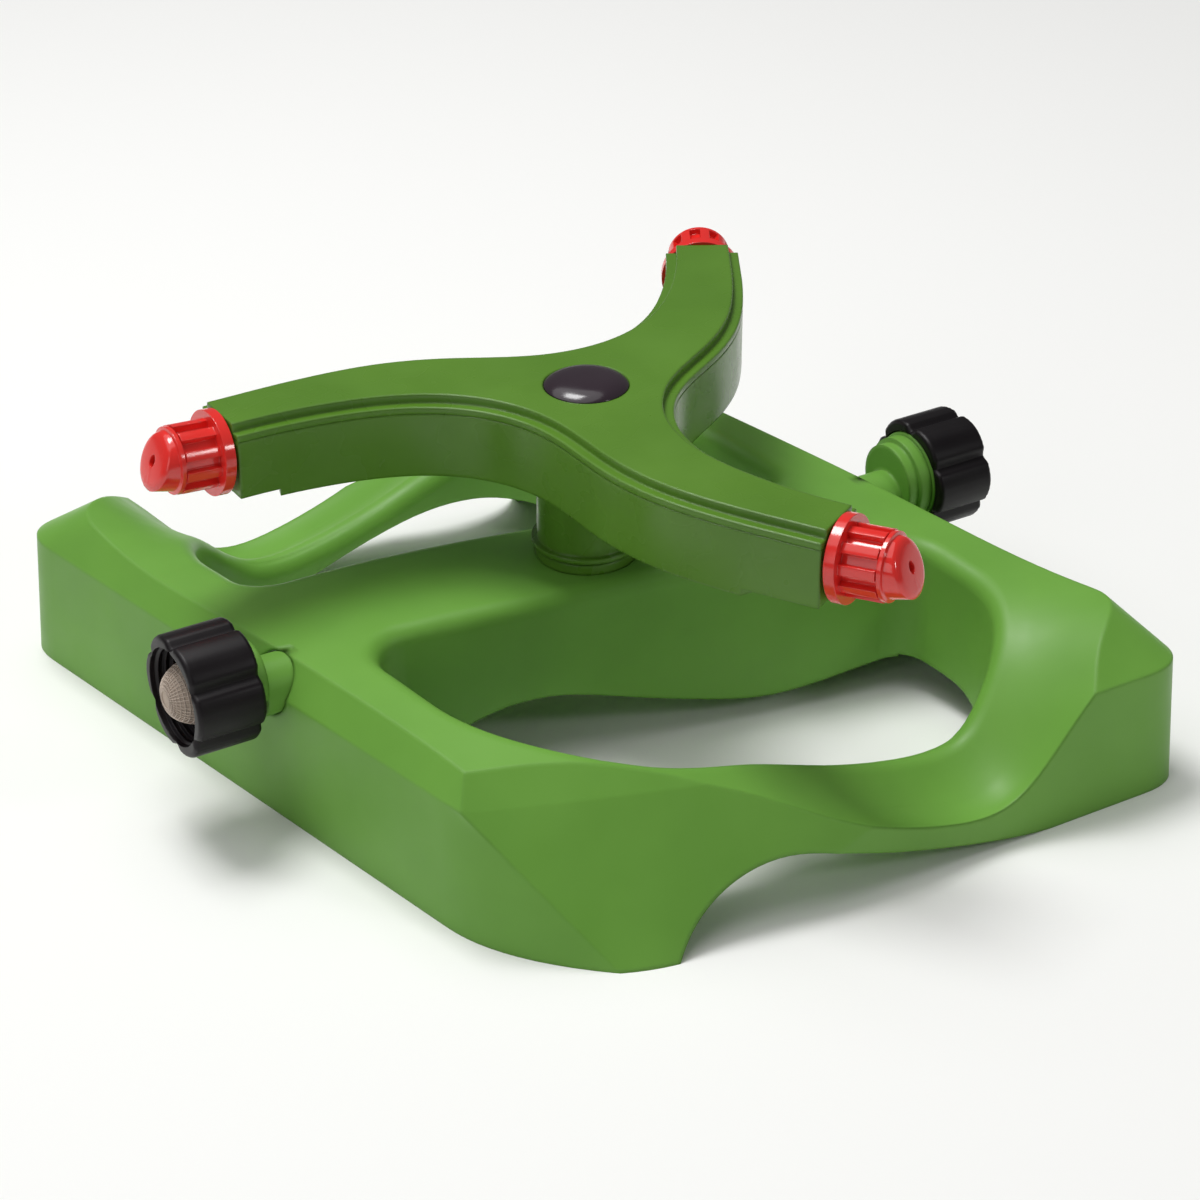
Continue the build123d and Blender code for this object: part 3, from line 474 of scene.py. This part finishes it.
# %% [markdown]
# ## Hose couplings
#
# The swivel nut and the outlet cap are the same moulding outside: a grip of six wide lobes with
# narrow grooves between them and rounded rims. It could be extruded from a drawn outline. Here a
# cylinder is drawn in at six places, a little more at each step towards the middle of a groove,
# because that needs one scale operator a step. Insets at both ends make the rims.

# %% Lobed grip
grip_sides, grip_radius = 120, 16.7
groove_count = 6
# How many degrees each step reaches from a groove's middle, and how far it draws the wall in
groove_steps = (25.5, 0.994), (19.5, 0.988), (13.5, 0.982), (7.5, 0.968), (4.5, 0.95), (1.5, 0.97)
rim_steps = (0.25, 0.65), (0.4, 0.45), (0.65, 0.25)   # width and rise of each inset
rim_depth = sum(rise for _, rise in rim_steps)


def lobed_grip(name, length):
    """A grip that stands on the origin, with grooves halfway between its lobes."""
    grip = bar(grip_sides, grip_radius, length - 2 * rim_depth, start=rim_depth)
    grip.name = name
    pitch = 360 / groove_count
    for reach, share in groove_steps:
        edit(grip)
        bpy.ops.mesh.select_mode(type="VERT")
        bpy.ops.object.mode_set(mode="OBJECT")
        for corner in grip.data.vertices:
            turn = degrees(atan2(corner.co.y, corner.co.x))
            corner.select = abs(turn % pitch - pitch / 2) < reach
        bpy.ops.object.mode_set(mode="EDIT")
        bpy.ops.transform.resize(value=(share, share, 1), center_override=(0, 0, length / 2 * mm))
        bpy.ops.object.mode_set(mode="OBJECT")
    edit(grip)
    choose(grip, lambda face: abs(face.normal.z) > level_share)
    for step, rise in rim_steps:
        bpy.ops.mesh.inset(thickness=step * mm, depth=rise * mm)
    close(grip)
    return grip


print("grooves:", groove_count, "rims:", round(rim_depth, 2), "mm")

# %% [markdown]
# The hollow of a coupling comes from a core that is drawn out of the mould. A boolean does the
# same: a turned plug is taken away from the grip. Where its edges nearly meet others it leaves
# slivers, so corners that lie very close together are merged after each cut.

# %% Plugs that cut the hollows
plug_sides = 96
sliver = 0.02                        # millimetres: corners closer than this after a cut are merged
overshoot = 1.0                      # millimetres that a plug stands out, so that it cuts through


def plug(start, first, *others):
    """A turned plug for cutting: pairs of radius and length, stacked up from the start height."""
    last, length = first
    cutter = bar(plug_sides, last, length, start)
    edit(cutter)
    choose(cutter, lambda face: face.normal.z > level_share)
    for radius, length in others:
        push(length, radius, last)
        last = radius
    bpy.ops.object.mode_set(mode="OBJECT")
    return cutter


def cut(piece, cutter):
    """Takes the cutter away from the piece, merges the slivers and throws the cutter away."""
    pick(piece)
    hollow = piece.modifiers.new("hollow", "BOOLEAN")
    hollow.operation = "DIFFERENCE"
    hollow.object = cutter
    bpy.ops.object.modifier_apply(modifier=hollow.name)
    bpy.data.objects.remove(cutter)
    weld(piece, sliver)
    print(piece.name, "cut to", len(piece.data.polygons), "faces")


print("plugs have", plug_sides, "sides and stand out by", overshoot, "mm")

# %% [markdown]
# The swivel nut turns on the inlet and holds the hose. It has a throat for the spigot, and a thread
# that is drawn as rings: a helix looks much the same from outside, and rings are easier to cut.

# %% Swivel nut
nut_low, nut_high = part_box("inlet_swivel_nut")
nut_length = (nut_high.x - nut_low.x) / mm
screen_low, screen_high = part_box("inlet_strainer")
water_height = (screen_low.z + screen_high.z) / 2
nut_lip, throat_radius = 3.0, 9.3
thread_radius, crest_radius = 13.5, 12.75
thread_start, thread_pitch, thread_turns = 10.2, 2.2, 4
thread_flank, thread_crest = 0.5, 0.4
thread_root = thread_pitch - 2 * thread_flank - thread_crest
coupling_round, coupling_angle = 0.3, 40


def on_water_line(start, way):
    """Stands a piece on the water line, with its tip towards the outlet (1) or the inlet (-1)."""
    return Matrix(((0, 0, way, start), (way, 0, 0, 0), (0, 1, 0, water_height), (0, 0, 0, 1)))


one_ring = [(crest_radius, thread_flank), (crest_radius, thread_crest),
            (thread_radius, thread_flank), (thread_radius, thread_root)]
nut = lobed_grip("swivel_nut_lobed", nut_length)
cut(nut, plug(-overshoot, (throat_radius, nut_length + 2 * overshoot)))
cut(nut, plug(nut_lip, (thread_radius, thread_start - nut_lip), *one_ring * thread_turns,
              (thread_radius, nut_length)))
soften(nut, coupling_round, angle=coupling_angle)
settle(nut, on_water_line(nut_high.x, -1))
dress(nut, "inlet_nut", "connector_black", connector_black, "inlet_swivel_nut")

# %% [markdown]
# The outlet cap closes the far end of the pipe. Its hollow stops at a floor, and a shallow dish in
# its crown leaves a raised rim. Both are cut with the same plugs as the nut, so that the two
# couplings stay one family.

# %% Outlet cap
cap_low, cap_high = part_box("outlet_cap")
cap_length = (cap_high.x - cap_low.x) / mm
cap_floor = 3.5
dish_depth, dish_radius, dish_wall = 0.8, 12.1, 0.4
dish_mouth, dish_reach = 12.6, 2.0   # above the wall the plug widens, and it ends past the crown
cap = lobed_grip("outlet_cap_lobed", cap_length)
cut(cap, plug(-overshoot, (thread_radius, cap_length - cap_floor + overshoot)))
cut(cap, plug(cap_length - dish_depth, (dish_radius, dish_wall), (dish_mouth, dish_reach)))
soften(cap, coupling_round, angle=coupling_angle)
settle(cap, on_water_line(cap_low.x, 1))
dress(cap, "outlet_cap", "connector_black", connector_black, "outlet_cap")

# %% [markdown]
# ## Strainer
#
# The strainer is a thimble of woven screen on a flat rim, which keeps grit out of the jets. It
# could be spun from a profile. Here it grows in rings along an ellipse, because the rings and the
# sides then cross as the threads do.

# %% Strainer's thimble
screen_sides, screen_rings = 40, 12
screen_length = (screen_high.x - screen_low.x) / mm
screen_rim, screen_root, screen_tip, screen_flat = 13.0, 9.2, 2.4, 1.0
thread_width = 0.28
dome_height = screen_length - screen_flat - thread_width
screen = bar(screen_sides, screen_rim, screen_flat)
screen.name = "strainer_screen"
edit(screen)
choose(screen, lambda face: face.normal.z > level_share)
bpy.ops.mesh.inset(thickness=(screen_rim - screen_root) * mm)
last = screen_root
for ring in range(screen_rings):
    start, stop = (edge / screen_rings * pi / 2 for edge in (ring, ring + 1))
    radius = screen_tip + (screen_root - screen_tip) * cos(stop)
    push(dome_height * (sin(stop) - sin(start)), radius, last)
    last = radius
close(screen)

# %% [markdown]
# A wireframe of the thimble's faces makes the threads, which lie over its smooth skin. A picture of
# a weave would look flat from the side. The wireframe is open where the rim was taken away, so the
# loops of its open edges are bridged.

# %% Strainer's threads
threads = bpy.data.objects.new("strainer_threads", screen.data.copy())
bpy.context.scene.collection.objects.link(threads)
edit(threads)
choose(threads, lambda face: face.center.z < (screen_flat + thread_width / 2) * mm)
bpy.ops.mesh.delete(type="FACE")
bpy.ops.object.mode_set(mode="OBJECT")
weave = threads.modifiers.new("weave", "WIREFRAME")
weave.thickness = thread_width * mm
weave.offset = 1.0
bpy.ops.object.modifier_apply(modifier=weave.name)
edit(threads)
bpy.ops.mesh.select_mode(type="EDGE")
bpy.ops.mesh.select_non_manifold()
bpy.ops.mesh.bridge_edge_loops()
close(threads)

# %% [markdown]
# Both are shaded smooth, stood on the inlet's mouth and dressed. The skin stands for the imported
# node, and the threads are an extra piece on the same body.

# %% Strainer in place
for part in (screen, threads):
    pick(part)
    bpy.ops.object.shade_smooth_by_angle(angle=radians(edge_angle))
    settle(part, on_water_line(screen_high.x, -1))
# The skin carries the painted shade of the gaps, and the threads carry the nylon's own beige
dress(screen, "base", "strainer_mesh", painted_shade_skin, "inlet_strainer")
dress(threads, "base", "strainer_mesh", strainer_screen)

# %% [markdown]
# ## Studio
#
# The part stands on a wide sheet of pale paper. A curved backdrop would hide the horizon too, but
# the camera looks down, so a flat floor is enough and holds the shadow from every side.

# %% Floor
paper_tooth, tooth_depth = 3.0, 0.1  # millimetres, coarser than real paper, so that it shows
floor_size = 12                      # metres
# Matte paper: an even, nearly white ground with soft shadows and no reflection
floor_paper, floor_shader = blank("paper_matte_studio_white")
floor_place = add_node(floor_paper, "ShaderNodeTexCoord", {})
floor_tooth = add_node(floor_paper, "ShaderNodeTexNoise",
                       {"Scale": 1 / (paper_tooth * mm), "Detail": 2.0},
                       {"Vector": floor_place.outputs["Object"]})
floor_bump = add_node(floor_paper, "ShaderNodeBump",
                      {"Strength": 0.02, "Distance": tooth_depth * mm},
                      {"Height": floor_tooth.outputs["Fac"]})
floor_paper.node_tree.links.new(floor_bump.outputs["Normal"], floor_shader.inputs["Normal"])
floor_shader.inputs["Base Color"].default_value = linear("#F6F6F4")
floor_shader.inputs["Roughness"].default_value = 0.8
bpy.ops.object.select_all(action="DESELECT")
bpy.ops.mesh.primitive_plane_add(size=floor_size)
floor = bpy.context.object
floor.name = "studio_floor"
floor.data.materials.append(floor_paper)
print("floor:", floor_size, "m of", floor_paper.name)

# %% [markdown]
# The strongest softbox hangs overhead, behind the part and to the left, and lights the upper faces.
# A wide one at the left front and a small one at the right front open the dark sides and put small
# lights on the nozzles. A plain, weak world fills the rest. A picture of a studio could do all of
# it, but lamps can be moved one by one.

# %% World and softboxes
world = bpy.context.scene.world or bpy.data.worlds.new("studio")
bpy.context.scene.world = world
world.use_nodes = True
sky = world.node_tree.nodes["Background"]
sky.inputs["Color"].default_value = linear("#FFFFFF")
sky.inputs["Strength"].default_value = 0.13
lamp_aim = Vector((0, 0, 0.06))      # metres: on the axis, a little below the hub cap


def softbox(name, place, width, power):
    """A square area light that faces the part, with its width in metres and its power in watts."""
    lamp = bpy.data.lights.new(name, "AREA")
    lamp.size = width
    lamp.energy = power
    holder = bpy.data.objects.new(name, lamp)
    bpy.context.scene.collection.objects.link(holder)
    holder.location = place
    holder.rotation_mode = "QUATERNION"
    holder.rotation_quaternion = (lamp_aim - Vector(place)).to_track_quat("-Z", "Y")
    print(name, power, "W")


softbox("top_softbox", (-0.15, 0.35, 1.22), width=0.45, power=9.0)
softbox("left_softbox", (-1.1, -0.5, 0.6), width=0.7, power=1.8)
softbox("right_softbox", (0.6, -1.1, 0.75), width=0.2, power=1.6)

# %% [markdown]
# A ceiling of soft light, drawn as a sun with a very wide disc, lights the floor evenly out to the
# horizon, so that the part stands on a pale ground from every side. A huge area light would fade
# towards its edges.

# %% Ceiling light
ceiling_lamp = bpy.data.lights.new("ceiling_light", "SUN")
ceiling_lamp.energy = 1.2
ceiling_lamp.angle = radians(70)
ceiling = bpy.data.objects.new("ceiling_light", ceiling_lamp)
bpy.context.scene.collection.objects.link(ceiling)
ceiling.rotation_euler = (radians(-15), radians(-10), 0)
print("ceiling light:", round(degrees(ceiling_lamp.angle)), "degrees wide")

# %% [markdown]
# ## Camera
#
# The photo looks down at about thirty degrees from in front and to the left of the water line. A
# camera could be moved by eye until the pictures agree. Here the place of the hub cap's middle in
# the frame, the distance and the two angles fix it.

# %% Camera
frame_pixels = 1200
focal_pixels = 3330.0
view_azimuth = radians(-31.7)
view_pitch = radians(29.82)
hub_point = Vector((0, 0, 0.0906))   # metres: the hub cap's middle on the part
hub_pixel = (586.3, 418.8)           # and in the frame, from its top left corner
hub_depth = 0.9                      # metres from the camera, along its view
ahead = Vector((-sin(view_azimuth) * cos(view_pitch), cos(view_azimuth) * cos(view_pitch),
                -sin(view_pitch)))
right = Vector((cos(view_azimuth), sin(view_azimuth), 0))
up = right.cross(ahead)
aside = (hub_pixel[0] - frame_pixels / 2) / focal_pixels * hub_depth
above = (frame_pixels / 2 - hub_pixel[1]) / focal_pixels * hub_depth
lens = bpy.data.cameras.new("camera")
lens.sensor_width = 36.0
lens.lens = focal_pixels / frame_pixels * lens.sensor_width
camera = bpy.data.objects.new("camera", lens)
bpy.context.scene.collection.objects.link(camera)
place = hub_point - ahead * hub_depth - right * aside - up * above
turned = Matrix((right, up, -ahead)).transposed()
camera.matrix_world = Matrix.Translation(place) @ turned.to_4x4()
bpy.context.scene.camera = camera
bpy.context.scene.view_settings.view_transform = "Standard"
print("camera at", tuple(round(v, 3) for v in place))
